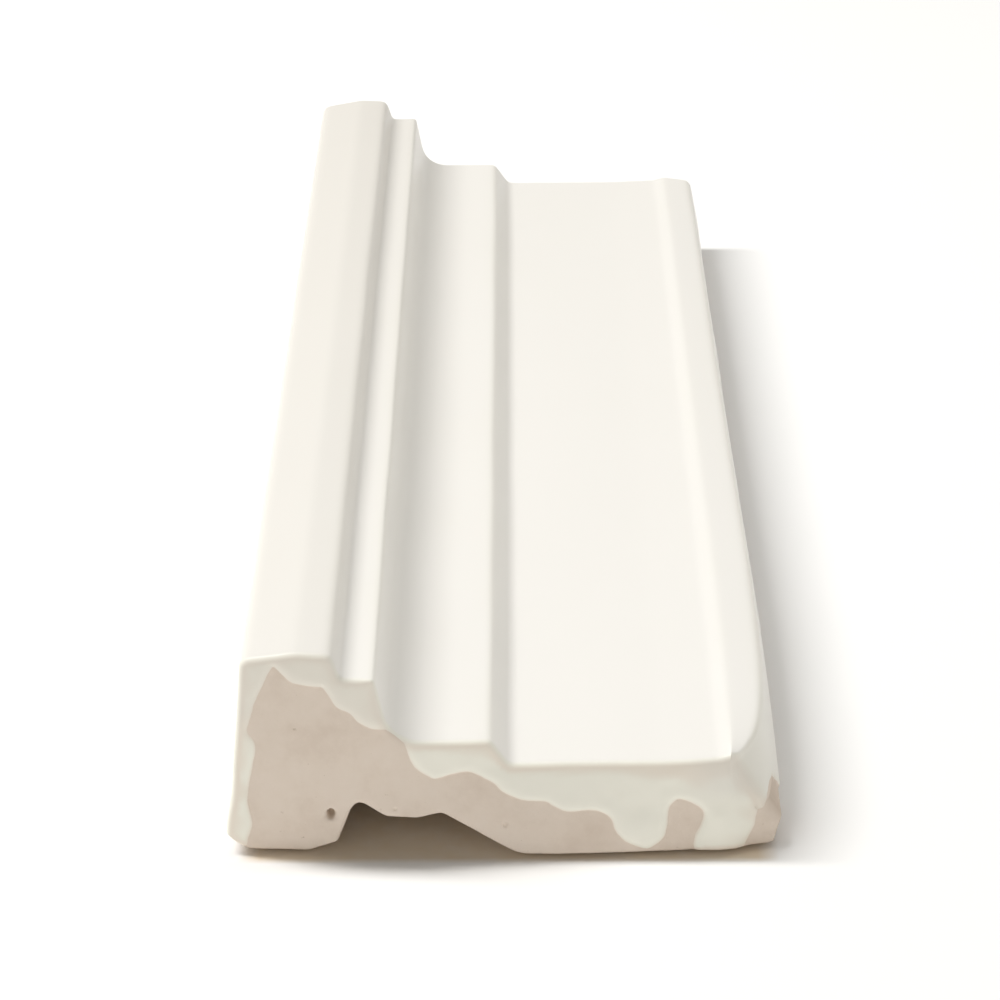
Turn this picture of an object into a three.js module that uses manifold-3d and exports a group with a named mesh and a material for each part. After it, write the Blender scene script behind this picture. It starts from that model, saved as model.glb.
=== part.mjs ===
// Ceramic ogee trim tile: a glazed moulding lying on its back, thick edge at -X, thin edge at +X.
// Millimetres, +Z up, length along Y, the end with the long glaze drips at -Y.

import * as THREE from 'three';
import { mergeVertices } from 'three/addons/utils/BufferGeometryUtils.js';
import Module from 'manifold-3d';

// Overall size
const LENGTH = 152.4;
const WIDTH = 51.4;
const HALF_LENGTH = LENGTH / 2;
const HALF_WIDTH = WIDTH / 2;

// Levels above the wall face
const NOSE_SHOULDER = 20.1;
const NOSE_CROWN = 20.95;
const NOSE_BROW = 20.8;
const FILLET_TOP = 18.35;
const COVE_FOOT = 11.9;
const PANEL_TOP_LEFT = 9.35;
const PANEL_TOP_MIDDLE = 9.5;
const PANEL_DISH_END = 9.72;
const PANEL_CREST = 10.15;
const STRIP_FOOT = 9.7;
const THIN_EDGE_BULGE = 2.4;
const HEEL_BEVEL = 1.5;

// Places across the width
const HEEL_FLAT_LEFT = -24.0;
const NOSE_LEFT = -24.15;
const NOSE_MIDDLE = -19.1;
const NOSE_RIGHT = -15.85;
const FILLET_LEFT = -15.1;
const FILLET_RIGHT = -12.05;
const COVE_FOOT_X = -10.7;
const BAND_RIGHT = -1.6;
const PANEL_LEFT = 0.15;
const PANEL_MIDDLE = 14.0;
const PANEL_DISH_RIGHT = 19.3;
const PANEL_RIGHT = 20.75;
const STRIP_RIGHT = 24.4;
const THIN_EDGE_FOOT = 24.9;

// Back channel between the two feet
const HEEL_FLAT_RIGHT = -18.4;
const HEEL_LIP = { x: -15.75, z: 1.1 };
const CHANNEL_WALL = { x: -14.45, z: 4.6 };
const CHANNEL_PEAK = { x: -13.7, z: 5.6 };
const CHANNEL_SAG_LEFT = { x: -11.3, z: 3.95 };
const CHANNEL_SAG_RIGHT = { x: -8.3, z: 3.8 };
const CHANNEL_RIGHT = { x: -6.1, z: 4.4 };
const TOE_LEFT = 0.9;

// How far each corner of the section is rounded off
const ROUND = {
  heelBevel: 0.8,
  heel: 1.4,
  heelRise: 2.5,
  heelLip: 0.5,
  channel: 0.8,
  channelSag: 1.5,
  toe: 3.5,
  thinFoot: 0.9,
  thinBulge: 1.6,
  strip: 1.1,
  panelEdge: 0.7,
  panelRise: 1.5,
  panelDish: 4.0,
  step: 0.8,
  cove: 3.6,
  fillet: 0.35,
  quirk: 0.4,
  noseBrow: 1.0,
  noseCrown: 3.0,
  noseShoulder: 1.2,
};

// Plan of the two ends: each bows out a little, the near one most at a place right of the middle
const NEAR_FOREMOST = 3.5;
const NEAR_BOW_LEFT = { depth: 1.25, span: 28, power: 1.4 };
const NEAR_BOW_RIGHT = { depth: 1.25, span: 17.5, power: 1.7 };
const FAR_BOW = 0.35;
const NEAR_CORNER_ACROSS = 2.0;
const NEAR_CORNER_ALONG = 1.8;
const SMALL_CORNER = 0.8;

// The thin edge's upper corner is worn back towards the near end
const WEAR_LEFT = 20.3;
const WEAR_SHARE = 0.95;
const WEAR_START = 1.6;
const WEAR_LENGTH = 4.6;
const WEAR_TOP = 9.0;

// Glaze that ran over the near end before firing
const GLAZE_THICKNESS = 0.35;
const GLAZE_ROOT = 1.5;
const GLAZE_LEFT_EDGE = [
  [-24.55, 0.3], [-24.2, 5.5], [-23.3, 9.8], [-23.2, 11.4], [-23.9, 12.9], [-23.2, 15.0],
  [-22.1, 17.9], [-21.3, 19.5],
];
const GLAZE_LIP = [
  [-20.6, 18.9], [-19.3, 17.95], [-17.0, 17.6], [-15.6, 15.7], [-13.9, 14.2], [-12.0, 13.25],
  [-10.2, 13.1], [-9.2, 11.1], [-8.4, 9.1], [-6.6, 7.9], [-4.2, 8.5], [-1.9, 7.6], [-0.2, 6.1],
  [1.9, 5.35], [3.9, 5.0], [5.6, 4.3],
];
const GLAZE_DRIPS = [
  [7.6, 4.4], [9.3, 3.6], [10.1, 1.9], [12.7, 0.25], [14.2, 1.7], [14.7, 4.3], [15.8, 5.7],
  [17.6, 4.8], [17.6, 3.1], [17.1, 1.4], [17.2, -0.5],
];
const GLAZE_CORNER = [[21.9, -0.5], [22.6, 1.8], [23.1, 4.4], [23.8, 6.6], [25.2, 8.0]];

// Drawing values
const CURVE_STEPS = 5;
const SPLINE_STEPS = 3;
const END_STEPS = 14;
const LENGTH_STEPS = 14;
const LENGTH_CROWDING = 1.8;
const MARGIN = 4;
const SIDE_CLEARANCE = 0.1;
const MERGE_DISTANCE = 1e-4;
const CEILING = NOSE_CROWN + MARGIN;

const wasm = await Module();
wasm.setup();

// A closed outline whose corners [x, y, radius] are rounded where the radius is not zero
function roundedOutline(corners) {
  const shape = new THREE.Shape();
  corners.forEach(([x, y, radius], index) => {
    const corner = new THREE.Vector2(x, y);
    const before = neighbour(corners, index - 1).sub(corner);
    const after = neighbour(corners, index + 1).sub(corner);
    const angle = Math.acos(before.dot(after) / (before.length() * after.length()));
    const reach = radius / Math.tan(angle / 2);
    const start = before.setLength(reach).add(corner);
    const end = after.setLength(reach).add(corner);
    if (index === 0) {
      shape.moveTo(start.x, start.y);
    } else {
      shape.lineTo(start.x, start.y);
    }
    if (radius > 0) {
      shape.quadraticCurveTo(x, y, end.x, end.y);
    }
  });
  shape.closePath();
  return shape;
}

function neighbour(corners, index) {
  const [x, y] = corners.at(index % corners.length);
  return new THREE.Vector2(x, y);
}

// The moulding's section: x across the width, y up from the wall face
function sectionShape() {
  const underside = [
    [-HALF_WIDTH, HEEL_BEVEL, ROUND.heelBevel],
    [HEEL_FLAT_LEFT, 0, ROUND.heel],
    [HEEL_FLAT_RIGHT, 0, ROUND.heelRise],
    [HEEL_LIP.x, HEEL_LIP.z, ROUND.heelLip],
    [CHANNEL_WALL.x, CHANNEL_WALL.z, ROUND.channel],
    [CHANNEL_PEAK.x, CHANNEL_PEAK.z, ROUND.channel],
    [CHANNEL_SAG_LEFT.x, CHANNEL_SAG_LEFT.z, ROUND.channelSag],
    [CHANNEL_SAG_RIGHT.x, CHANNEL_SAG_RIGHT.z, ROUND.channelSag],
    [CHANNEL_RIGHT.x, CHANNEL_RIGHT.z, ROUND.channel],
    [TOE_LEFT, 0, ROUND.toe],
  ];
  const thinEdge = [
    [THIN_EDGE_FOOT, 0, ROUND.thinFoot],
    [HALF_WIDTH, THIN_EDGE_BULGE, ROUND.thinBulge],
    [STRIP_RIGHT, STRIP_FOOT, ROUND.strip],
  ];
  const face = [
    [PANEL_RIGHT, PANEL_CREST, ROUND.panelEdge],
    [PANEL_DISH_RIGHT, PANEL_DISH_END, ROUND.panelRise],
    [PANEL_MIDDLE, PANEL_TOP_MIDDLE, ROUND.panelDish],
    [PANEL_LEFT, PANEL_TOP_LEFT, ROUND.step],
    [BAND_RIGHT, COVE_FOOT, ROUND.step],
    [COVE_FOOT_X, COVE_FOOT, ROUND.cove],
    [FILLET_RIGHT, FILLET_TOP, ROUND.fillet],
    [FILLET_LEFT, FILLET_TOP, ROUND.quirk],
  ];
  const nose = [
    [NOSE_RIGHT, NOSE_BROW, ROUND.noseBrow],
    [NOSE_MIDDLE, NOSE_CROWN, ROUND.noseCrown],
    [NOSE_LEFT, NOSE_SHOULDER, ROUND.noseShoulder],
  ];
  return roundedOutline([...underside, ...thinEdge, ...face, ...nose]);
}

// How far the near end lies back from its foremost point at a place across the width
function nearBow(x) {
  const bow = x < NEAR_FOREMOST ? NEAR_BOW_LEFT : NEAR_BOW_RIGHT;
  return bow.depth * (Math.abs(x - NEAR_FOREMOST) / bow.span) ** bow.power;
}

function farBow(x) {
  const share = x / HALF_WIDTH;
  return FAR_BOW * share * share;
}

// Seen from above: the bowed ends, with the near end's thin corner well rounded
function planShape(shift) {
  const side = HALF_WIDTH + SIDE_CLEARANCE;
  const nearRight = side - NEAR_CORNER_ACROSS;
  const near = (x) => -HALF_LENGTH + GLAZE_THICKNESS - shift + nearBow(x);
  const shape = new THREE.Shape();
  shape.moveTo(-side, near(-side) + SMALL_CORNER);
  shape.lineTo(-side + SMALL_CORNER / 2, near(-side));
  for (let step = 1; step <= END_STEPS; step += 1) {
    const x = THREE.MathUtils.lerp(-side + SMALL_CORNER / 2, nearRight, step / END_STEPS);
    shape.lineTo(x, near(x));
  }
  shape.quadraticCurveTo(side, near(side), side, near(side) + NEAR_CORNER_ALONG);
  for (let step = 0; step <= END_STEPS; step += 1) {
    const x = THREE.MathUtils.lerp(side, -side, step / END_STEPS);
    shape.lineTo(x, HALF_LENGTH - farBow(x));
  }
  shape.closePath();
  return shape;
}

// The part of the near end that the glaze covers: above the lip, down the edges and the drips
function glazeShape() {
  const shape = new THREE.Shape();
  const beyond = HALF_WIDTH + MARGIN;
  shape.moveTo(-beyond, CEILING);
  shape.lineTo(-beyond, GLAZE_LEFT_EDGE[0][1]);
  addSpline(shape, GLAZE_LEFT_EDGE);
  addSpline(shape, GLAZE_LIP);
  addSpline(shape, GLAZE_DRIPS);
  addSpline(shape, GLAZE_CORNER);
  shape.lineTo(beyond, CEILING);
  shape.closePath();
  return shape;
}

function addSpline(shape, points) {
  const curve = new THREE.SplineCurve(points.map(([x, y]) => new THREE.Vector2(x, y)));
  for (const point of curve.getPoints(SPLINE_STEPS * (points.length - 1))) {
    shape.lineTo(point.x, point.y);
  }
}

function extrude(shape, depth, steps = 1) {
  return new THREE.ExtrudeGeometry(shape, {
    depth, steps, bevelEnabled: false, curveSegments: CURVE_STEPS,
  });
}

// A section drawn in X and Z, run along Y between two places
function alongLength(shape, from, to, steps) {
  const geometry = extrude(shape, to - from, steps);
  geometry.rotateX(Math.PI / 2);
  geometry.translate(0, to, 0);
  return geometry;
}

// The whole run of the moulding, its rings crowded towards the near end and its corner worn back there
function mouldingGeometry() {
  const reach = HALF_LENGTH + MARGIN;
  const geometry = alongLength(sectionShape(), -reach, reach, LENGTH_STEPS);
  const { position } = geometry.attributes;
  for (let index = 0; index < position.count; index += 1) {
    const share = (position.getY(index) + reach) / (2 * reach);
    const y = 2 * reach * Math.max(share, 0) ** LENGTH_CROWDING - reach;
    position.setY(index, y);
    position.setX(index, wornPlace(position.getX(index), y, position.getZ(index)));
  }
  return geometry;
}

// Where a point of the thin edge lies after the wear, which fades along the length and down the edge
function wornPlace(x, y, z) {
  if (x <= WEAR_LEFT) {
    return x;
  }
  const fade = Math.exp(-Math.max(y + HALF_LENGTH - WEAR_START, 0) / WEAR_LENGTH);
  const height = THREE.MathUtils.clamp((z - THIN_EDGE_BULGE) / (WEAR_TOP - THIN_EDGE_BULGE), 0, 1);
  return WEAR_LEFT + (x - WEAR_LEFT) * (1 - WEAR_SHARE * fade * height);
}

// A plan drawn in X and Y, taller than the tile both ways
function throughHeight(shape) {
  const geometry = extrude(shape, CEILING + MARGIN);
  geometry.translate(0, 0, -MARGIN);
  return geometry;
}

function toSolid(geometry) {
  geometry.deleteAttribute('normal');
  geometry.deleteAttribute('uv');
  const merged = mergeVertices(geometry, MERGE_DISTANCE);
  return new wasm.Manifold(new wasm.Mesh({
    numProp: 3,
    vertProperties: new Float32Array(merged.attributes.position.array),
    triVerts: new Uint32Array(merged.index.array),
  }));
}

function toGeometry(solid) {
  const mesh = solid.getMesh();
  const geometry = new THREE.BufferGeometry();
  geometry.setAttribute('position', new THREE.BufferAttribute(new Float32Array(mesh.vertProperties), 3));
  geometry.setIndex(new THREE.BufferAttribute(new Uint32Array(mesh.triVerts), 1));
  return geometry;
}

// The clay body cut to its plan, joined by the glaze that stands proud of the near end
function tileGeometry() {
  const reach = HALF_LENGTH + MARGIN;
  const moulding = toSolid(mouldingGeometry());
  const body = moulding.intersect(toSolid(throughHeight(planShape(0))));
  const curtain = toSolid(alongLength(glazeShape(), -reach, -HALF_LENGTH + GLAZE_ROOT));
  const glazed = moulding
    .intersect(toSolid(throughHeight(planShape(GLAZE_THICKNESS))))
    .intersect(curtain);
  const geometry = toGeometry(body.add(glazed));
  geometry.computeBoundingBox();
  const { min, max } = geometry.boundingBox;
  geometry.translate(-(min.x + max.x) / 2, -(min.y + max.y) / 2, -min.z);
  geometry.computeVertexNormals();
  return geometry;
}

const glaze = new THREE.MeshStandardMaterial({
  name: 'white_glaze',
  color: 0xf7f4ec,
  roughness: 0.22,
  metalness: 0,
});

const tile = new THREE.Mesh(tileGeometry(), glaze);
tile.name = 'ogee_trim_tile';

const part = new THREE.Group();
part.add(tile);

export default part;
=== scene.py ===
"""Looks of the ceramic ogee trim tile: a pressed clay moulding under white glaze, on a pale floor."""

import math

import bpy
import numpy as np
from mathutils import Matrix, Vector
from mathutils.geometry import delaunay_2d_cdt


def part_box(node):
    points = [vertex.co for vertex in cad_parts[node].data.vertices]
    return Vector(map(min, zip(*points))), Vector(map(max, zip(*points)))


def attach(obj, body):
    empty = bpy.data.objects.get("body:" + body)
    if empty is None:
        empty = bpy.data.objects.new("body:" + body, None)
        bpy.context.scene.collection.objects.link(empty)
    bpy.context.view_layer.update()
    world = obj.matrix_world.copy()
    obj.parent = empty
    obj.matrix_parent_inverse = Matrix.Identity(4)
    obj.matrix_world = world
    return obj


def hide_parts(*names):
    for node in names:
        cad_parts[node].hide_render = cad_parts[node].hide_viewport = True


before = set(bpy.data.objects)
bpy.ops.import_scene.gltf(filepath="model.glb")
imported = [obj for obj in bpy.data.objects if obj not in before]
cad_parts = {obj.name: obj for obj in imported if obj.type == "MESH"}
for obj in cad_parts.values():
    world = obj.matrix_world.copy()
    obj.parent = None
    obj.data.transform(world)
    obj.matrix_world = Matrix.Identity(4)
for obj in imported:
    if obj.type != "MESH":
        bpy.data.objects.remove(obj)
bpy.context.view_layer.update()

NODE = "ogee_trim_tile"

# All shapes are worked out in millimetres and turned into metres at the end
MM = 0.001
LOW, HIGH = (np.array(corner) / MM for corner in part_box(NODE))
HALF_LENGTH = (HIGH[1] - LOW[1]) / 2
HALF_WIDTH = (HIGH[0] - LOW[0]) / 2

# Section corners: place across the width, level above the wall face, rounding
BULGE = HALF_WIDTH + 0.05
UNDERSIDE = [
    (-BULGE, 1.5, 0.8), (-24.0, 0.0, 1.4), (-18.4, 0.0, 2.5), (-15.75, 1.1, 0.5), (-14.45, 4.6, 0.8),
    (-13.7, 5.6, 0.8), (-11.3, 3.95, 1.5), (-8.3, 3.8, 1.5), (-6.1, 4.4, 0.8), (0.9, 0.0, 3.5),
]
THIN_EDGE = [(24.9, 0.0, 0.9), (BULGE, 2.4, 1.6), (24.4, 9.7, 1.1)]
PANEL = [(20.75, 10.15, 0.7), (19.3, 9.72, 1.5), (14.0, 9.5, 4.0), (0.15, 9.35, 0.8)]
BAND = [(-1.6, 11.9, 0.8), (-10.65, 11.9, 3.6)]
FILLET = [(-12.05, 18.35, 0.35), (-15.1, 18.35, 0.4)]
NOSE = [(-15.85, 20.8, 1.0), (-19.1, 20.95, 3.0), (-24.15, 20.1, 1.2)]
CHANNEL_LEFT = -18.5
CHANNEL_RIGHT = 1.5
CHANNEL_TOP = 6.5
BACK_FACING = -0.7

# How the section is softened and sampled
LOOP_SPACING = 0.05
CORNER_STEPS = 12
GLAZED_SOFTNESS = 0.26
BARE_SOFTNESS = 0.12
SOFTNESS_BLEND = 0.3
SAMPLES_PER_MM = 1.7
SAMPLES_PER_RADIAN = 6.0
SAMPLES_AT_FOOT = 6.0
FOOT_HEIGHT = 2.5
FOOT_REACH = 23.6

# Rings along the length and round the edge of each end
LENGTH_RINGS = 110
RING_CROWDING = 0.86
ARRIS_STEPS = 6
TOP_ARRIS = 0.6
CORNER_ARRIS = 1.5
CORNER_TURN = (0.25, 0.8)
BASE_ARRIS = 0.4
CHANNEL_ARRIS = 0.4
ARRIS_ROUNDING_SHARE = 0.75
ARRIS_SOFTNESS = 0.5

# Plan of the ends: each bows out, most at a place right of the middle
NEAR_FOREMOST = 3.5
NEAR_BOW_LEFT = (1.25, 28.0, 1.4)
NEAR_BOW_RIGHT = (1.25, 17.5, 1.7)
NEAR_CORNER_LEFT = 20.5
NEAR_CORNER_DEPTH = 0.7
NEAR_LEAN = 1.1
NEAR_LEAN_MIDDLE = 5.0
NEAR_LEAN_SPAN = 10.0
NEAR_LEAN_TOP = 9.0
FAR_BOW = 0.35

# The thin edge's upper corner is worn back towards the near end
WEAR_LEFT = 20.3
WEAR_START = 1.6
WEAR_SHARE = 0.95
WEAR_LENGTH = 4.6
WEAR_TOP = 9.0
WEAR_FOOT = 2.4

# The back rises a little towards the near end
LIFT = 0.15
LIFT_LENGTH = 3.0
LIFT_TOP = 1.6

# Glaze gathered at the foot of the thick edge, next to the near end
GATHER = 0.4
GATHER_LENGTH = 7.0
GATHER_LEVEL = 2.6
GATHER_HEIGHT = 2.4
GATHER_X = (23.6, 25.0)

# Glaze: its thickness on the end, the width of its rounded rim, and the step at the foot of the long sides
GLAZE_BACKING = 0.4
GLAZE_FILM = 0.16
GLAZE_RIM = 0.9
GLAZE_BEAD = 0.05
SIDE_STEP = 0.2
DRIP_SWELL = 0.28
SIDE_BEAD_PLACE = 0.7
SIDE_BEAD_WIDTH = 0.6
END_BEAD_PLACE = 0.6
END_BEAD_WIDTH = 0.5
EDGE_THICKNESS_SHARE = 0.6
EDGE_THICKNESS_REACH = (0.3, 1.8)
FILM_UNEVENNESS = 0.15
GLAZE_LIMITS = (-0.6, 3.0)

# Grain of the bare clay on the ends: height and size of each set of waves
GRAIN = [(0.02, 1.2, 51), (0.03, 5.0, 52)]

# Edge of the glaze on the near end: left strip, lip, hanging drip, bare notch and broad run
NEAR_LIP = [
    (-24.2, -0.6), (-24.0, 1.2), (-23.6, 3.0), (-23.85, 5.0), (-23.8, 6.4), (-23.5, 8.0),
    (-23.1, 9.8), (-22.95, 10.9), (-23.1, 11.8), (-23.7, 12.7), (-23.4, 13.9), (-22.85, 15.9),
    (-22.0, 17.8), (-21.5, 18.9), (-21.0, 19.5), (-20.3, 18.75), (-19.4, 17.9), (-17.3, 17.55),
    (-16.7, 17.45), (-16.2, 16.7), (-15.5, 15.5), (-14.3, 14.85), (-13.6, 14.0), (-12.4, 13.3),
    (-11.2, 13.2), (-10.0, 13.15), (-9.5, 12.2), (-9.2, 11.2), (-8.9, 10.1), (-8.3, 9.1),
    (-7.3, 8.35), (-6.6, 8.05), (-5.3, 8.4), (-4.3, 8.65), (-3.3, 8.65), (-2.3, 8.1),
    (-1.2, 7.4), (-0.5, 6.6), (0.7, 5.95), (1.7, 5.65), (3.4, 5.55), (4.0, 5.15),
    (4.7, 4.75), (5.7, 4.5), (7.7, 4.6), (8.9, 4.2), (9.45, 3.6), (9.8, 2.5),
    (10.6, 1.5), (11.6, 0.9), (12.75, 0.5), (13.6, 1.0), (14.3, 1.8), (14.6, 3.0),
    (14.7, 4.4), (15.0, 5.15), (15.7, 5.6), (17.0, 5.1), (17.9, 4.1), (17.6, 2.7),
    (17.1, 1.4), (17.2, -0.8),
]
NEAR_CORNER_LIP = [
    (21.5, -0.8), (21.9, 0.3), (22.4, 1.5), (23.1, 3.0), (23.7, 3.8), (24.8, 4.4), (27.0, 5.2),
]

# Plainer edge of the glaze on the far end: place across the width and level
FAR_LIP = [
    (-26.0, -0.6), (-24.5, 6.0), (-22.0, 17.2), (-14.0, 14.2), (-9.0, 9.5), (-4.0, 8.2), (0.0, 5.8),
    (6.0, 5.2), (13.0, 4.2), (19.0, 4.9), (23.0, 4.4), (24.6, 2.0), (26.0, -0.6),
]
FAR_LIP_WAVE = 0.45
FAR_LIP_POINTS = 40

# Drips that swell out: middle, half width, level of the root
NEAR_DRIPS = [(12.4, 1.9, 4.2), (19.9, 2.1, 4.6)]
DRIP_FADE = (-1.5, 1.0)
LIP_STEPS = 5
LIP_SPREAD = (-0.16, -0.05, 0.04, 0.12, 0.22, 0.34, 0.5)
GRID_SPACING = 0.4
GRID_CLEARANCE = 0.16

# Pits in the bare clay of the near end: place, level, radius across, radius up, depth
NEAR_PITS = [(-16.3, 4.15, 0.42, 0.58, 1.0), (-10.4, 4.85, 0.2, 0.2, 0.1), (-0.3, 3.2, 0.24, 0.28, 0.14)]
# Depth at which a pit is fully painted with the darker clay as shade
PIT_SHADE_DEPTH = 0.8
PIT_RINGS = 5
PIT_SPOKES = 14

# The bare patch at the near end carries on a little way along the foot of the thin edge
PATCH_TOP = [(0.0, 4.1), (1.5, 4.5), (3.5, 4.9), (5.5, 5.0), (7.0, 4.7), (8.5, 3.0), (10.0, 1.0)]
# Film on the bare clay of the long sides and the patch: it turns the clay part way to the darker brown as
# painted shade
PATCH_SHADE_FILM = 0.1
SIDE_LIP_LEFT = 1.0
SIDE_LIP_RIGHT = 0.7
SIDE_LIP_WAVE = 0.3

# Film of glaze from 0 to 1: low film paints the clay a darker brown as shade (on the back, in the pits and
# part way on the bare feet), thin tan at the end's edges, cream run-over, white face
THIN_FILM = 0.3
THIN_WIDTH = 1.5
# The thin tan zone widens to the right: thin glaze there, and also painted shade that darkens the top of
# the broad run
THIN_WIDTH_RIGHT = 4.0
END_FILM = 0.55
HIGH_END_FILM = 0.42
ARRIS_FILM_LOSS = 0.15
THIN_RIGHT_X = (10.0, 18.0)
THIN_UNEVENNESS = 0.35
HIGH_END_FILM_Z = (10.0, 14.0)
FILM_EDGE = (-0.05, 0.3)
WORN_FILM_LENGTH = 16.0

# Tint of the glaze at the near and the far end, on the panel, the fillet and the nose: a warm tone on the
# nose, and painted shade growing towards the far end
TINT_NEAR = (0.0, 0.0, 0.47)
TINT_FAR_AND_PAINTED_SHADE = (0.3, 0.65, 1.0)
FILLET_LEVEL = (16.5, 18.0)
NOSE_LEVEL = (18.7, 19.8)

# Tint on the ends: painted shade at the top of the broad run, where the end turns away to the right, and a
# darker tint under the nose
RUN_PAINTED_SHADE = 0.5
RUN_PAINTED_SHADE_X = (15.0, 20.0)
RUN_PAINTED_SHADE_Z = (4.5, 7.0)
HIGH_END_TINT = 0.3
HIGH_END_Z = (12.0, 15.0)

# Unevenness along the length: distance from the near end, how far the thin edge stands out there
THIN_EDGE_SWAY = [(0.0, -0.2), (18.0, 0.05), (40.0, 0.26), (70.0, 0.0), (100.0, -0.15), (152.0, -0.25)]
SWAY_X = (18.0, 25.0)
SIDE_WAVE = 0.06
FACE_WAVE = 0.05
FACE_WAVE_Z = (7.0, 9.0)

# Camera, solved from the tile's straight lines
CAMERA_PLACE = (0.502, -330.34, 161.222)
CAMERA_PITCH = math.radians(26.086)
CAMERA_YAW = math.radians(-0.247)
CAMERA_ROLL = math.radians(-0.303)
CAMERA_LENS = 117.07
CAMERA_SENSOR = 36.0

# Studio light: sky colour by height above the horizon, and lamps by place, width and power
SKY_LOW = (0.85, 0.825, 0.765)
SKY_MIDDLE = (0.57, 0.555, 0.52)
SKY_HIGH = (0.03, 0.03, 0.03)
SKY_STOPS = [(0.0, SKY_LOW), (0.32, SKY_LOW), (0.4, SKY_MIDDLE), (0.68, SKY_MIDDLE), (0.76, SKY_HIGH)]
LAMPS = {
    "key": ((-0.47, 0.06, 0.755), (0.5, 0.09), 5.75),
    "top": ((0.0, 0.07, 0.85), (0.8, 0.09), 1.8),
}
LAMP_COLOUR = (1.0, 0.99, 0.97)

# Colours of the clay and of the glaze from thin to pooled
CLAY_DARK = (0.675, 0.575, 0.49)
CLAY_MIDDLE = (0.73, 0.635, 0.55)
CLAY_LIGHT = (0.76, 0.67, 0.59)
CLAY_SPECK = (0.54, 0.45, 0.36)
# Darker brown painted into the bare clay as shade: on the back and in the channel, in the pits, and part
# way on the bare feet
CLAY_PAINTED_SHADE = (0.40, 0.31, 0.23)
GLAZE_STOPS = [
    (0.0, (0.78, 0.69, 0.585)), (0.3, (0.82, 0.755, 0.665)), (0.55, (0.875, 0.86, 0.775)),
    (1.0, (0.87, 0.855, 0.825)),
]
# Colour the white turns towards: a warm tone on the nose, painted shade towards the far end, on the broad
# run and the worn corner, and a darker tint under the nose
GLAZE_TINT = (0.715, 0.69, 0.645)
FLOOR = (0.96, 0.96, 0.96)
# Painted shade on the floor: brown under the tile and in a thin line along its ends, for contact shadow and
# the shade in the channel
FLOOR_PAINTED_SHADE = (0.8, 0.69, 0.55)

# Floor: how far below the feet it lies, its half size in metres, and where the painted shade under the tile
# and along its ends fades out
FLOOR_DROP = 0.3
FLOOR_HALF = 3.0
PAINTED_SHADE_ACROSS = (25.0, 23.0)
PAINTED_SHADE_ALONG = (76.4, 75.5)

rng = np.random.default_rng(7)


def smooth_step(value, low, high):
    share = np.clip((value - low) / (high - low), 0, 1)
    return share * share * (3 - 2 * share)


def ripple(u, v, size, seed):
    """Uneven waves about `size` long over two coordinates, between about -1 and 1."""
    local = np.random.default_rng(seed)
    total = np.zeros(np.broadcast(u, v).shape)
    count = 7
    for _ in range(count):
        heading = local.uniform(0, 2 * math.pi)
        pace = local.uniform(0.6, 1.7) * 2 * math.pi / size
        phase = local.uniform(0, 2 * math.pi)
        total = total + np.sin((u * math.cos(heading) + v * math.sin(heading)) * pace + phase)
    return total / math.sqrt(count * 2)


def rounded_outline(corners):
    """Points of a closed outline whose corners (x, z, rounding) are rounded off."""
    places = np.array([corner[:2] for corner in corners])
    points = []
    for index, (x, z, rounding) in enumerate(corners):
        corner = np.array((x, z))
        before = places[index - 1] - corner
        after = places[(index + 1) % len(places)] - corner
        before = before / np.linalg.norm(before)
        after = after / np.linalg.norm(after)
        angle = math.acos(np.clip(before @ after, -1, 1))
        reach = rounding / math.tan(angle / 2)
        for t in np.linspace(0, 1, CORNER_STEPS if rounding else 1):
            points.append(corner + before * reach * (1 - t) ** 2 + after * reach * t ** 2)
    return np.array(points)


def even_loop(points, spacing):
    """The same closed outline with its points evenly spaced."""
    closed = np.vstack([points, points[:1]])
    steps = np.linalg.norm(np.diff(closed, axis=0), axis=1)
    along = np.concatenate([[0], np.cumsum(steps)])
    places = np.linspace(0, along[-1], int(along[-1] / spacing), endpoint=False)
    return np.stack([np.interp(places, along, closed[:, axis]) for axis in (0, 1)], 1)


def soften(values, width):
    """Values round a closed loop blurred by a bell curve `width` points wide."""
    count = len(values)
    waves = np.fft.fftfreq(count) * 2 * math.pi
    bell = np.exp(-0.5 * (waves * width) ** 2)
    bell = bell.reshape(-1, *[1] * (values.ndim - 1))
    return np.real(np.fft.ifft(np.fft.fft(values, axis=0) * bell, axis=0))


def spline(points, steps):
    """A smooth curve through the points, the same as a Catmull-Rom spline."""
    points = np.array(points, float)
    padded = np.vstack([2 * points[0] - points[1], points, 2 * points[-1] - points[-2]])
    curve = []
    for index in range(len(points) - 1):
        a, b, c, d = padded[index:index + 4]
        for t in np.arange(steps) / steps:
            curve.append(0.5 * (2 * b + (c - a) * t + (2 * a - 5 * b + 4 * c - d) * t ** 2
                                + (3 * b - a - 3 * c + d) * t ** 3))
    curve.append(points[-1])
    return np.array(curve)


def loop_normals(points):
    """Outward normals and the turn per millimetre of an anticlockwise closed loop."""
    ahead = np.roll(points, -1, axis=0) - points
    behind = points - np.roll(points, 1, axis=0)
    tangent = ahead + behind
    tangent = tangent / np.linalg.norm(tangent, axis=1, keepdims=True)
    normal = np.stack([tangent[:, 1], -tangent[:, 0]], 1)
    turn = np.arctan2(behind[:, 0] * ahead[:, 1] - behind[:, 1] * ahead[:, 0], (behind * ahead).sum(1))
    step = (np.linalg.norm(ahead, axis=1) + np.linalg.norm(behind, axis=1)) / 2
    return normal, turn / step


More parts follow.
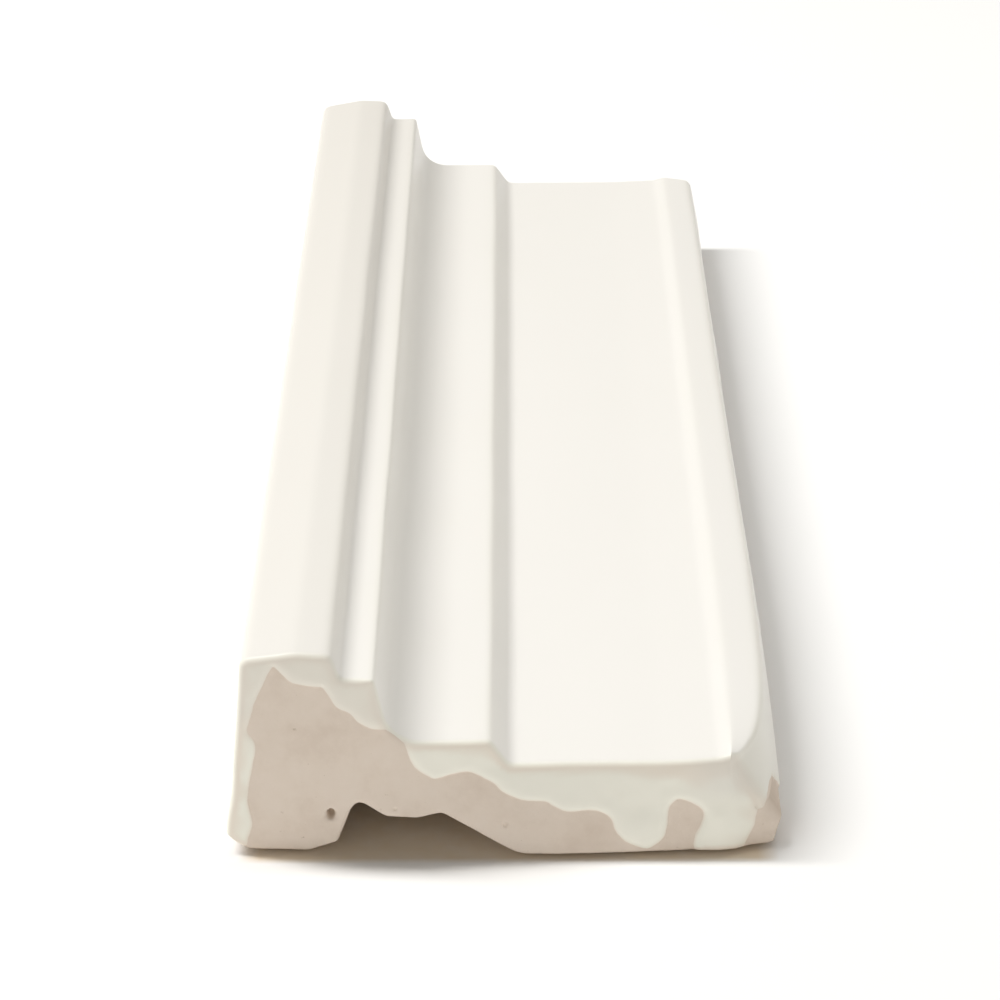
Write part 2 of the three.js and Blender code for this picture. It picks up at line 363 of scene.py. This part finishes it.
class Section:
    """The moulding's cross section: sample points, outward normals and what lies on the back."""

    def __init__(self):
        outline = rounded_outline(UNDERSIDE + THIN_EDGE + PANEL + BAND + FILLET + NOSE)
        loop = even_loop(outline, LOOP_SPACING)
        back = self.on_back(loop, loop_normals(loop)[0])
        share = soften(back.astype(float), SOFTNESS_BLEND / LOOP_SPACING)[:, None]
        soft = soften(loop, GLAZED_SOFTNESS / LOOP_SPACING)
        firm = soften(loop, BARE_SOFTNESS / LOOP_SPACING)
        loop = soft * (1 - share) + firm * share
        loop[:, 1] = np.maximum(loop[:, 1], 0)
        normal, turn = loop_normals(loop)
        turn = soften(turn, 2)
        foot = (np.abs(loop[:, 0]) > FOOT_REACH) & (loop[:, 1] < FOOT_HEIGHT)
        density = SAMPLES_PER_MM + SAMPLES_PER_RADIAN * np.abs(turn) + SAMPLES_AT_FOOT * foot
        total = np.concatenate([[0], np.cumsum(density * LOOP_SPACING)])
        wanted = np.linspace(0, total[-1], int(total[-1]), endpoint=False)
        places = np.interp(wanted, total, np.arange(len(total)))
        ring = np.arange(len(loop) + 1)

        def sample(values):
            closed = np.concatenate([values, values[:1]])
            if values.ndim == 1:
                return np.interp(places, ring, closed)
            columns = [np.interp(places, ring, column) for column in closed.T]
            return np.stack(columns, 1)

        self.point = sample(loop)
        self.normal = sample(normal)
        self.normal /= np.linalg.norm(self.normal, axis=1, keepdims=True)
        self.turn = sample(turn)
        self.back = self.on_back(self.point, self.normal)
        self.arris = self.arris_radius()

    @staticmethod
    def on_back(point, normal):
        x, z = point.T
        in_channel = (x > CHANNEL_LEFT) & (x < CHANNEL_RIGHT) & (z < CHANNEL_TOP)
        return in_channel | (normal[:, 1] < BACK_FACING)

    def arris_radius(self):
        """How far the edge between face and end is rounded at each sample."""
        x = self.point[:, 0]
        outward = smooth_step(self.normal[:, 0], *CORNER_TURN) * (x > WEAR_LEFT)
        in_channel = (x > CHANNEL_LEFT) & (x < CHANNEL_RIGHT)
        base = np.where(in_channel, CHANNEL_ARRIS, BASE_ARRIS)
        face = TOP_ARRIS + (CORNER_ARRIS - TOP_ARRIS) * outward
        wanted = np.where(self.back, base, face)
        room = ARRIS_ROUNDING_SHARE / np.maximum(self.turn, 1e-3)
        radius = np.minimum(wanted, room)
        gaps = self.point[:, None, :] - self.point[None, :, :]
        near = np.linalg.norm(gaps, axis=2) < ARRIS_SOFTNESS
        smallest = np.where(near, radius[None, :], np.inf).min(1)
        weight = near.astype(float)
        return (weight * smallest[None, :]).sum(1) / weight.sum(1)


def near_bow(x, z):
    """How far the near end lies back from its foremost point."""
    depth_left, span_left, power_left = NEAR_BOW_LEFT
    depth_right, span_right, power_right = NEAR_BOW_RIGHT
    left = depth_left * (np.maximum(NEAR_FOREMOST - x, 0) / span_left) ** power_left
    right = depth_right * (np.maximum(x - NEAR_FOREMOST, 0) / span_right) ** power_right
    lean = np.exp(-((x - NEAR_LEAN_MIDDLE) / NEAR_LEAN_SPAN) ** 2) * np.clip(z / NEAR_LEAN_TOP, 0, 1)
    corner = (np.maximum(x - NEAR_CORNER_LEFT, 0) / (HALF_WIDTH - NEAR_CORNER_LEFT)) ** 2
    return left + right + NEAR_LEAN * lean + NEAR_CORNER_DEPTH * corner


def far_bow(x):
    return FAR_BOW * (x / HALF_WIDTH) ** 2


def distance_to_line(points, line, chunk=4000):
    """Shortest distance from each point to a run of straight segments."""
    start = line[:-1]
    step = line[1:] - start
    squared = (step ** 2).sum(1)
    result = np.empty(len(points))
    for first in range(0, len(points), chunk):
        block = points[first:first + chunk]
        offset = block[:, None, :] - start[None]
        share = np.clip((offset * step[None]).sum(2) / squared[None], 0, 1)
        gap = offset - share[..., None] * step[None]
        result[first:first + chunk] = np.sqrt((gap ** 2).sum(2).min(1))
    return result


def inside(points, polygon):
    """Whether each point lies inside a closed polygon."""
    x, z = points.T
    result = np.zeros(len(points), bool)
    for (x0, z0), (x1, z1) in zip(polygon, np.roll(polygon, -1, axis=0)):
        if z0 == z1:
            continue
        crosses = (z0 > z) != (z1 > z)
        result ^= crosses & (x < (x1 - x0) * (z - z0) / (z1 - z0) + x0)
    return result


class GlazeEdge:
    """The edge of the glaze on one end; distances are positive under glaze, negative on bare clay."""

    def __init__(self, *lines):
        self.lines = [spline(line, LIP_STEPS) for line in lines]
        far = 60.0
        outer = [(far, self.lines[-1][-1][1]), (far, far), (-far, far), (-far, self.lines[0][0][1])]
        self.polygon = np.vstack([*self.lines, np.array(outer)])

    def signed(self, points):
        gap = np.min([distance_to_line(points, line) for line in self.lines], axis=0)
        return np.where(inside(points, self.polygon), gap, -gap)


def far_lip():
    """A plainer ragged lip for the hidden far end, following the face a few millimetres down."""
    x = np.linspace(-HALF_WIDTH - 1, HALF_WIDTH + 1, FAR_LIP_POINTS)
    level = np.interp(x, *np.array(FAR_LIP).T)
    return list(zip(x, level + FAR_LIP_WAVE * ripple(x, 0 * x, 6.0, 21) * (level > 1)))


def rim_profile(distance):
    """The rounded rim of the glaze: 0 at its edge, 1 where it is full."""
    share = np.clip(distance / GLAZE_RIM, 0, 1)
    return np.sqrt(1 - (1 - share) ** 2)


def side_lip(x, y):
    """Level of the glaze's lower edge on the long sides."""
    left = SIDE_LIP_LEFT + SIDE_LIP_WAVE * ripple(y, 0 * y, 14, 31)
    right = SIDE_LIP_RIGHT + SIDE_LIP_WAVE * ripple(y, 0 * y, 12, 32)
    from_end = y + HALF_LENGTH
    patch = np.interp(from_end, *np.array(PATCH_TOP).T)
    return np.where(x < 0, left, np.maximum(right, patch))


def end_tint(points):
    """How far the glaze run over an end is tinted: painted shade at the top of the broad run, and a darker
    tint under the nose.
    """
    x, z = points.T
    run = RUN_PAINTED_SHADE * smooth_step(x, *RUN_PAINTED_SHADE_X) * smooth_step(z, *RUN_PAINTED_SHADE_Z)
    return run + HIGH_END_TINT * smooth_step(z, *HIGH_END_Z)


def drip_swell(x, z):
    total = np.zeros_like(x)
    for middle, half, top in NEAR_DRIPS:
        across = np.exp(-((x - middle) / half) ** 2)
        total = total + across * (1 - smooth_step(z - top, *DRIP_FADE))
    return total


class Tile:
    """Vertices, faces and glaze values of the whole tile."""

    def __init__(self):
        self.section = Section()
        self.count = len(self.section.point)
        self.near = GlazeEdge(NEAR_LIP, NEAR_CORNER_LIP)
        self.far = GlazeEdge(far_lip())
        self.points = []
        self.glaze = []
        self.film = []
        self.tint = []
        self.faces = []
        self.total = 0

    def add(self, points, glaze, film, tint):
        first = self.total
        self.points.append(points)
        self.glaze.append(glaze)
        self.film.append(film)
        self.tint.append(tint)
        self.total += len(points)
        return first

    def long_glaze(self, y):
        """Signed distance to the glaze's edge along the face and the long sides at one ring."""
        x, z = self.section.point.T
        side = np.clip(z - side_lip(x, y), *GLAZE_LIMITS)
        return np.where(self.section.back, GLAZE_LIMITS[0], side)

    def long_film(self, y):
        """Glaze draws thin over the outward corners of the moulding."""
        outward = soften(np.clip(self.section.turn, 0, 2), 1.5)
        film = 1 - ARRIS_FILM_LOSS * np.clip(outward, 0, 1)
        film = film + (END_FILM - film) * self.worn_share(y)
        bare = self.long_glaze(y) < 0
        # Bare clay on the long sides is painted part way darker as shade
        film = np.where(bare, PATCH_SHADE_FILM, film)
        # Film 0 on the back paints it with the darker clay as shade
        return np.where(self.section.back, 0.0, film)

    def worn_share(self, y):
        """Share of wear on the thin edge, most at the near end."""
        thin_edge = self.section.point[:, 0] > WEAR_LEFT
        outward = smooth_step(self.section.normal[:, 0], *CORNER_TURN)
        return thin_edge * outward * np.exp(-(y + HALF_LENGTH) / WORN_FILM_LENGTH)

    def long_tint(self, y):
        """How far the white is tinted along one ring: a warm tone on the nose, and painted shade towards
        the far end and on the worn corner.
        """
        share = (y + HALF_LENGTH) / (2 * HALF_LENGTH)
        z = self.section.point[:, 1]
        panel, fillet, nose = (near + (far - near) * share for near, far in zip(TINT_NEAR, TINT_FAR_AND_PAINTED_SHADE))
        tint = panel + (fillet - panel) * smooth_step(z, *FILLET_LEVEL)
        tint = tint + (nose - fillet) * smooth_step(z, *NOSE_LEVEL)
        # The worn corner of the thin edge is darkened as painted shade
        return tint + RUN_PAINTED_SHADE * self.worn_share(y)

    def ring_plan(self, inset, glaze):
        """Section points drawn in by an inset, with the clay below the glaze set back on the long sides."""
        point = self.section.point
        normal = self.section.normal
        foot = (np.abs(point[:, 0]) > FOOT_REACH - 1) & ~self.section.back
        step = SIDE_STEP * (1 - rim_profile(glaze)) * np.abs(normal[:, 0]) * foot
        bead = np.exp(-((glaze - SIDE_BEAD_PLACE) / SIDE_BEAD_WIDTH) ** 2)
        bead = GLAZE_BEAD * bead * foot * np.abs(normal[:, 0])
        return point - normal * (inset + step - bead)[:, None]

    def end_height(self, points, glaze, top_gap):
        """How far the glaze on an end stands out from the clay."""
        x, z = points.T
        inward = smooth_step(top_gap, *EDGE_THICKNESS_REACH)
        full = EDGE_THICKNESS_SHARE + (1 - EDGE_THICKNESS_SHARE) * inward
        bead = GLAZE_BEAD * np.exp(-((glaze - END_BEAD_PLACE) / END_BEAD_WIDTH) ** 2) * (glaze > 0)
        swell = DRIP_SWELL * drip_swell(x, z) * rim_profile(glaze / 2)
        uneven = 1 + FILM_UNEVENNESS * ripple(x, z, 3.0, 41)
        return (GLAZE_FILM * full * uneven + bead + swell) * rim_profile(glaze)

    def end_film(self, points, glaze, top_gap):
        """Film of glaze over an end: thin next to the face's edge, none in the pits, which paints them with
        the darker clay as shade.
        """
        x, z = points.T
        right = smooth_step(x, *THIN_RIGHT_X)
        thin_width = THIN_WIDTH + (THIN_WIDTH_RIGHT - THIN_WIDTH) * right
        thin_width = thin_width * (1 + THIN_UNEVENNESS * ripple(x, z, 4.0, 42))
        thick = smooth_step(top_gap, thin_width / 4, thin_width)
        full = END_FILM + (HIGH_END_FILM - END_FILM) * smooth_step(z, *HIGH_END_FILM_Z)
        film = THIN_FILM + (full - THIN_FILM) * thick
        film = THIN_FILM + (film - THIN_FILM) * smooth_step(glaze, *FILM_EDGE)
        return film * (1 - smooth_step(pit_depth(points), 0.0, PIT_SHADE_DEPTH))

    def top_gap(self, points):
        """Distance to the glazed edge of the section."""
        edge = self.section.point[~self.section.back]
        gap = np.full(len(points), np.inf)
        for first in range(0, len(edge), 60):
            block = edge[first:first + 60]
            gap = np.minimum(gap, np.linalg.norm(points[:, None] - block[None], axis=2).min(1))
        return gap

    def end_surface(self, points, glaze, near):
        """Place along the length of an end's surface, seen at points of the section plane."""
        x, z = points.T
        gap = self.top_gap(points)
        height = self.end_height(points, glaze, gap)
        grain = sum(tall * ripple(x, z, size, seed) for tall, size, seed in GRAIN)
        grain = grain * (1 - rim_profile(glaze))
        if near:
            return -HALF_LENGTH + near_bow(x, z) + GLAZE_BACKING - height + grain + pit_depth(points)
        return HALF_LENGTH - far_bow(x) - GLAZE_BACKING + height - grain

    def end_cap(self, ring_points, edge, near):
        """Triangles over one end, inside its ring: finer along the glaze's edge and round the pits."""
        extra = cap_points(ring_points, edge, near)
        flat = np.vstack([ring_points, extra])
        count = len(ring_points)
        sides = [(index, (index + 1) % count) for index in range(count)]
        result = delaunay_2d_cdt([tuple(p) for p in flat], sides, [], 1, 1e-6)
        places = np.array([tuple(p) for p in result[0]])
        ring_of = {}
        for index, sources in enumerate(result[3]):
            for source in sources:
                if source < count:
                    ring_of[index] = source
        return places, ring_of, result[2]

    def build(self):
        section = self.section
        rings = []
        near_ring = self.end_ring(self.near, True)
        far_ring = self.end_ring(self.far, False)
        turn = np.linspace(math.pi / 2, 0, ARRIS_STEPS)
        for angle in turn:
            rings.append(self.arris(near_ring, angle, True))
        share = np.linspace(-1, 1, LENGTH_RINGS)
        share = np.sin(share * RING_CROWDING * math.pi / 2) / math.sin(RING_CROWDING * math.pi / 2)
        for place in (share[1:-1] + 1) / 2:
            y = (1 - place) * (near_ring["y"] + section.arris) + place * (far_ring["y"] - section.arris)
            rings.append(self.length_ring(y))
        for angle in turn[::-1]:
            rings.append(self.arris(far_ring, angle, False))
        for lower, upper in zip(rings[:-1], rings[1:]):
            for index in range(self.count):
                after = (index + 1) % self.count
                self.faces.append((lower + index, upper + index, upper + after, lower + after))
        self.close(near_ring, self.near, rings[0], True)
        self.close(far_ring, self.far, rings[-1], False)
        return self.finished()

    def end_ring(self, edge, near):
        """Values of the ring where an end's flat begins."""
        place = -HALF_LENGTH if near else HALF_LENGTH
        sides = self.long_glaze(np.full(self.count, place))
        plan = self.ring_plan(self.section.arris, sides)
        glaze = edge.signed(plan)
        return {"plan": plan, "glaze": glaze, "y": self.end_surface(plan, glaze, near)}

    def arris(self, end, angle, near):
        """One ring of the rounded edge between the face and an end."""
        radius = self.section.arris
        outward = 1 if near else -1
        y = end["y"] + outward * radius * (1 - math.sin(angle))
        sides = self.long_glaze(y)
        share = math.sin(angle)
        glaze = sides * (1 - share) + end["glaze"] * share
        plan = self.ring_plan(radius * (1 - math.cos(angle)), sides)
        film = self.long_film(y) * (1 - share) + THIN_FILM * share
        tint = self.long_tint(y) * (1 - share) + end_tint(plan) * share
        return self.add(np.stack([plan[:, 0], y, plan[:, 1]], 1), glaze, film, tint)

    def length_ring(self, y):
        glaze = self.long_glaze(y)
        plan = self.ring_plan(np.zeros(self.count), glaze)
        places = np.stack([plan[:, 0], y, plan[:, 1]], 1)
        return self.add(places, glaze, self.long_film(y), self.long_tint(y))

    def close(self, end, edge, ring_start, near):
        """Joins an end's triangles to its ring."""
        places, ring_of, faces = self.end_cap(end["plan"], edge, near)
        inner = np.array([index for index in range(len(places)) if index not in ring_of])
        points = places[inner]
        glaze = edge.signed(points)
        y = self.end_surface(points, glaze, near)
        film = self.end_film(points, glaze, self.top_gap(points))
        first = self.add(np.stack([points[:, 0], y, points[:, 1]], 1), glaze, film, end_tint(points))
        number = {index: ring_start + source for index, source in ring_of.items()}
        number.update({index: first + order for order, index in enumerate(inner)})
        for face in faces:
            corners = [number[index] for index in face]
            self.faces.append(tuple(corners if near else corners[::-1]))

    def finished(self):
        points = warp(np.vstack(self.points))
        values = {"glaze": self.glaze, "film": self.film, "tint": self.tint}
        return points, self.faces, {name: np.concatenate(parts) for name, parts in values.items()}


def cap_points(ring_points, edge, near):
    """Points inside an end: a loose grid, rows along the glaze's edge, and rings in the pits."""
    low = ring_points.min(0)
    high = ring_points.max(0)
    x, z = np.meshgrid(np.arange(low[0], high[0], GRID_SPACING), np.arange(low[1], high[1], GRID_SPACING))
    grid = np.stack([x.ravel(), z.ravel()], 1)
    grid = grid + rng.uniform(-0.1, 0.1, grid.shape)
    clear = distance_to_line(grid, np.vstack(edge.lines)) > LIP_SPREAD[-1] + GRID_CLEARANCE
    rows = [grid[clear]]
    for line in edge.lines:
        step = np.gradient(line, axis=0)
        aside = np.stack([-step[:, 1], step[:, 0]], 1)
        aside = aside / np.linalg.norm(aside, axis=1, keepdims=True)
        for spread in LIP_SPREAD:
            row = line + aside * spread
            rows.append(row[np.abs(edge.signed(row)) > 0.8 * abs(spread)])
    if near:
        for x0, z0, across, up, _ in NEAR_PITS:
            for ring in range(1, PIT_RINGS + 1):
                angle = np.linspace(0, 2 * math.pi, PIT_SPOKES, endpoint=False) + ring
                share = 1.2 * ring / PIT_RINGS
                x = x0 + across * share * np.cos(angle)
                z = z0 + up * share * np.sin(angle)
                rows.append(np.stack([x, z], 1))
    points = np.vstack(rows)
    closed = np.vstack([ring_points, ring_points[:1]])
    within = inside(points, ring_points) & (distance_to_line(points, closed) > GRID_CLEARANCE)
    return points[within]


def pit_depth(points):
    total = np.zeros(len(points))
    for x0, z0, across, up, depth in NEAR_PITS:
        share = ((points[:, 0] - x0) / across) ** 2 + ((points[:, 1] - z0) / up) ** 2
        total = total + depth * np.sqrt(np.clip(1 - share, 0, 1))
    return total


def warp(points):
    """Unevenness of a pressed and fired tile, with the thin edge worn back at the near end."""
    x, y, z = points.T.copy()
    from_near = y + HALF_LENGTH
    sway = np.interp(from_near, *np.array(THIN_EDGE_SWAY).T)
    aloft = smooth_step(z, 0.0, 1.5)
    x = x + sway * smooth_step(points[:, 0], *SWAY_X)
    x = x + SIDE_WAVE * ripple(y, 3 * z, 45, 61) * aloft
    z = z + FACE_WAVE * ripple(y, x, 30, 62) * smooth_step(points[:, 2], *FACE_WAVE_Z)
    lift = LIFT * np.exp(-np.maximum(from_near, 0) / LIFT_LENGTH)
    z = z + lift * (1 - smooth_step(points[:, 2], 0, LIFT_TOP))
    level = (points[:, 2] - GATHER_LEVEL) / GATHER_HEIGHT
    gather = np.exp(-(from_near / GATHER_LENGTH) ** 2 - level ** 2)
    x = x - GATHER * gather * smooth_step(-points[:, 0], *GATHER_X)
    fade = np.exp(-np.maximum(from_near - WEAR_START, 0) / WEAR_LENGTH)
    height = np.clip((z - WEAR_FOOT) / (WEAR_TOP - WEAR_FOOT), 0, 1)
    worn = WEAR_LEFT + (x - WEAR_LEFT) * (1 - WEAR_SHARE * fade * height)
    x = np.where(x > WEAR_LEFT, worn, x)
    return np.stack([x, y, z], 1)


def node(tree, kind, **settings):
    """A shader node with its settings and input values."""
    made = tree.nodes.new(kind)
    for name, value in settings.items():
        if name == "inputs":
            for key, entry in value.items():
                made.inputs[key].default_value = entry
        else:
            setattr(made, name, value)
    return made


def ramp(tree, stops):
    made = tree.nodes.new("ShaderNodeValToRGB")
    elements = made.color_ramp.elements
    while len(elements) < len(stops):
        elements.new(0.5)
    for element, (place, colour) in zip(elements, stops):
        element.position = place
        element.color = (*colour, 1)
    return made


def noise(tree, coordinates, scale, detail=3.0, roughness=0.55):
    values = {"Scale": scale, "Detail": detail, "Roughness": roughness}
    made = node(tree, "ShaderNodeTexNoise", inputs=values)
    tree.links.new(coordinates, made.inputs["Vector"])
    return made.outputs["Fac"]


def mix_colour(tree, share, first, second):
    made = node(tree, "ShaderNodeMix", data_type="RGBA")
    for socket, source in ((0, share), (6, first), (7, second)):
        tree.links.new(source, made.inputs[socket])
    return made.outputs[2]


def tinted(tree, share, source, colour):
    """A colour turned towards a fixed colour by a share."""
    made = node(tree, "ShaderNodeMix", data_type="RGBA", inputs={7: (*colour, 1)})
    tree.links.new(share, made.inputs[0])
    tree.links.new(source, made.inputs[6])
    return made.outputs[2]


def mix_value(tree, share, first, second):
    made = node(tree, "ShaderNodeMix", data_type="FLOAT")
    for socket, source in ((0, share), (2, first), (3, second)):
        if isinstance(source, (int, float)):
            made.inputs[socket].default_value = source
        else:
            tree.links.new(source, made.inputs[socket])
    return made.outputs[0]


def math_node(tree, operation, first, second):
    made = node(tree, "ShaderNodeMath", operation=operation)
    for socket, source in ((0, first), (1, second)):
        if isinstance(source, (int, float)):
            made.inputs[socket].default_value = source
        else:
            tree.links.new(source, made.inputs[socket])
    return made.outputs[0]


def map_range(tree, value, low, high, to_low=0.0, to_high=1.0):
    made = node(tree, "ShaderNodeMapRange", inputs={1: low, 2: high, 3: to_low, 4: to_high})
    tree.links.new(value, made.inputs[0])
    return made.outputs[0]


def ceramic():
    """White glaze over matt clay: the glaze's edge and thickness come from values kept on the mesh; low
    film paints the clay darker as shade, and the tint is partly warm tone, partly painted shade.
    """
    material = bpy.data.materials.new("white_glaze_over_clay")
    material.use_nodes = True
    tree = material.node_tree
    shader = tree.nodes["Principled BSDF"]
    place = node(tree, "ShaderNodeTexCoord").outputs["Object"]
    edge = node(tree, "ShaderNodeAttribute", attribute_name="glaze").outputs["Fac"]
    film = node(tree, "ShaderNodeAttribute", attribute_name="film").outputs["Fac"]
    tint = node(tree, "ShaderNodeAttribute", attribute_name="tint").outputs["Fac"]

    frayed = math_node(tree, "ADD", edge, map_range(tree, noise(tree, place, 900), 0.3, 0.7, -0.05, 0.05))
    covered = map_range(tree, frayed, -0.03, 0.05)

    mottle = ramp(tree, [(0.25, CLAY_DARK), (0.5, CLAY_MIDDLE), (0.8, CLAY_LIGHT)])
    tree.links.new(noise(tree, place, 260, 6.0, 0.65), mottle.inputs[0])
    specks = map_range(tree, noise(tree, place, 1500, 2.0), 0.72, 0.8)
    clay = tinted(tree, specks, mottle.outputs[0], CLAY_SPECK)
    # Painted shade: clay with little or no film turns towards a darker brown
    shaded_clay = ramp(tree, [(0.3, CLAY_PAINTED_SHADE), (0.7, CLAY_DARK)])
    tree.links.new(noise(tree, place, 90, 5.0), shaded_clay.inputs[0])
    clay = mix_colour(tree, map_range(tree, film, 0.0, 0.25), shaded_clay.outputs[0], clay)

    uneven = map_range(tree, noise(tree, place, 60, 3.0), 0.3, 0.7, -0.04, 0.04)
    thickness = math_node(tree, "ADD", film, uneven)
    glaze = ramp(tree, GLAZE_STOPS)
    tree.links.new(thickness, glaze.inputs[0])

    # The tint mixes in a warm tone and painted shade
    white = tinted(tree, tint, glaze.outputs[0], GLAZE_TINT)
    tree.links.new(mix_colour(tree, covered, clay, white), shader.inputs["Base Color"])
    gloss = map_range(tree, noise(tree, place, 120, 2.0), 0.3, 0.7, 0.29, 0.36)
    gloss = mix_value(tree, map_range(tree, film, 0.5, 0.95), 0.5, gloss)
    chalk = map_range(tree, noise(tree, place, 300, 2.0), 0.3, 0.7, 0.8, 0.95)
    tree.links.new(mix_value(tree, covered, chalk, gloss), shader.inputs["Roughness"])

    grain = noise(tree, place, 1400, 4.0, 0.7)
    relief = math_node(tree, "MULTIPLY", grain, map_range(tree, covered, 0.0, 1.0, 1.0, 0.0))
    bump = node(tree, "ShaderNodeBump", inputs={"Strength": 0.35, "Distance": 0.00012})
    tree.links.new(relief, bump.inputs["Height"])
    tree.links.new(bump.outputs["Normal"], shader.inputs["Normal"])
    shader.inputs["IOR"].default_value = 1.52
    return material


def tile_object():
    points, faces, layers = Tile().build()
    mesh = bpy.data.meshes.new("glazed_trim_tile")
    mesh.from_pydata((points * MM).tolist(), [], faces)
    mesh.validate()
    for name, values in layers.items():
        layer = mesh.attributes.new(name, "FLOAT", "POINT")
        layer.data.foreach_set("value", np.ascontiguousarray(values, np.float32))
    mesh.shade_smooth()
    mesh.materials.append(ceramic())
    tile = bpy.data.objects.new("glazed_trim_tile", mesh)
    bpy.context.scene.collection.objects.link(tile)
    return tile


def floor_object():
    material = bpy.data.materials.new("pale_floor")
    material.use_nodes = True
    tree = material.node_tree
    shader = tree.nodes["Principled BSDF"]
    place = node(tree, "ShaderNodeTexCoord").outputs["Object"]
    split = node(tree, "ShaderNodeSeparateXYZ")
    tree.links.new(place, split.inputs[0])
    beside = math_node(tree, "ABSOLUTE", split.outputs["X"], 0.0)
    beyond = math_node(tree, "ABSOLUTE", split.outputs["Y"], 0.0)
    # Painted shade: the floor turns brown under the tile and in a thin line along its ends, for contact
    # shadow and the shade in the channel
    under = math_node(tree, "MULTIPLY", map_range(tree, beside, *(edge * MM for edge in PAINTED_SHADE_ACROSS)),
                      map_range(tree, beyond, *(edge * MM for edge in PAINTED_SHADE_ALONG)))
    shade_unevenness = map_range(tree, noise(tree, place, 300), 0.2, 0.6, 0.75, 1.0)
    painted_shade_share = math_node(tree, "MULTIPLY", under, shade_unevenness)
    tone = ramp(tree, [(0.0, FLOOR), (1.0, FLOOR_PAINTED_SHADE)])
    tree.links.new(painted_shade_share, tone.inputs[0])
    tree.links.new(tone.outputs[0], shader.inputs["Base Color"])
    shader.inputs["Roughness"].default_value = 0.9
    shader.inputs["Specular IOR Level"].default_value = 0.1
    signs = [(-1, -1), (1, -1), (1, 1), (-1, 1)]
    corners = [(FLOOR_HALF * across, FLOOR_HALF * along, 0) for across, along in signs]
    mesh = bpy.data.meshes.new("floor")
    mesh.from_pydata(corners, [], [(0, 1, 2, 3)])
    mesh.materials.append(material)
    floor = bpy.data.objects.new("floor", mesh)
    bpy.context.scene.collection.objects.link(floor)
    floor.location.z = -FLOOR_DROP * MM
    return floor


def light_scene():
    """A bright horizon all round, a lamp from the upper left and a weaker one overhead."""
    scene = bpy.context.scene
    world = bpy.data.worlds.new("studio")
    world.use_nodes = True
    tree = world.node_tree
    height = node(tree, "ShaderNodeSeparateXYZ")
    tree.links.new(node(tree, "ShaderNodeTexCoord").outputs["Generated"], height.inputs[0])
    sky = ramp(tree, SKY_STOPS)
    tree.links.new(height.outputs["Z"], sky.inputs[0])
    tree.links.new(sky.outputs[0], tree.nodes["Background"].inputs["Color"])
    scene.world = world
    for name, (place, size, energy) in LAMPS.items():
        light = bpy.data.lights.new(name, "AREA")
        light.shape = "RECTANGLE"
        light.size, light.size_y = size
        light.energy = energy
        light.color = LAMP_COLOUR
        lamp = bpy.data.objects.new(name, light)
        scene.collection.objects.link(lamp)
        away = np.array(place) / np.linalg.norm(place)
        side = np.cross((0, 1, 0.01), away)
        side = side / np.linalg.norm(side)
        lamp.matrix_world = matrix_from(side, np.cross(away, side), away, place)
    scene.view_settings.view_transform = "Standard"


def matrix_from(right, up, back, place):
    return Matrix([[right[row], up[row], back[row], place[row]] for row in range(3)] + [[0, 0, 0, 1]])


def add_camera():
    forward = np.array((
        math.sin(CAMERA_YAW) * math.cos(CAMERA_PITCH),
        math.cos(CAMERA_YAW) * math.cos(CAMERA_PITCH),
        -math.sin(CAMERA_PITCH),
    ))
    level = np.array((math.cos(CAMERA_YAW), -math.sin(CAMERA_YAW), 0.0))
    upright = np.cross(level, forward)
    right = math.cos(CAMERA_ROLL) * level + math.sin(CAMERA_ROLL) * upright
    up = -math.sin(CAMERA_ROLL) * level + math.cos(CAMERA_ROLL) * upright
    data = bpy.data.cameras.new("camera")
    data.lens = CAMERA_LENS
    data.sensor_width = CAMERA_SENSOR
    data.clip_start = 0.01
    camera = bpy.data.objects.new("camera", data)
    camera.matrix_world = matrix_from(right, up, -forward, np.array(CAMERA_PLACE) * MM)
    bpy.context.scene.collection.objects.link(camera)
    bpy.context.scene.camera = camera


tile = tile_object()
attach(tile, "root")
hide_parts(NODE)
floor_object()
light_scene()
add_camera()
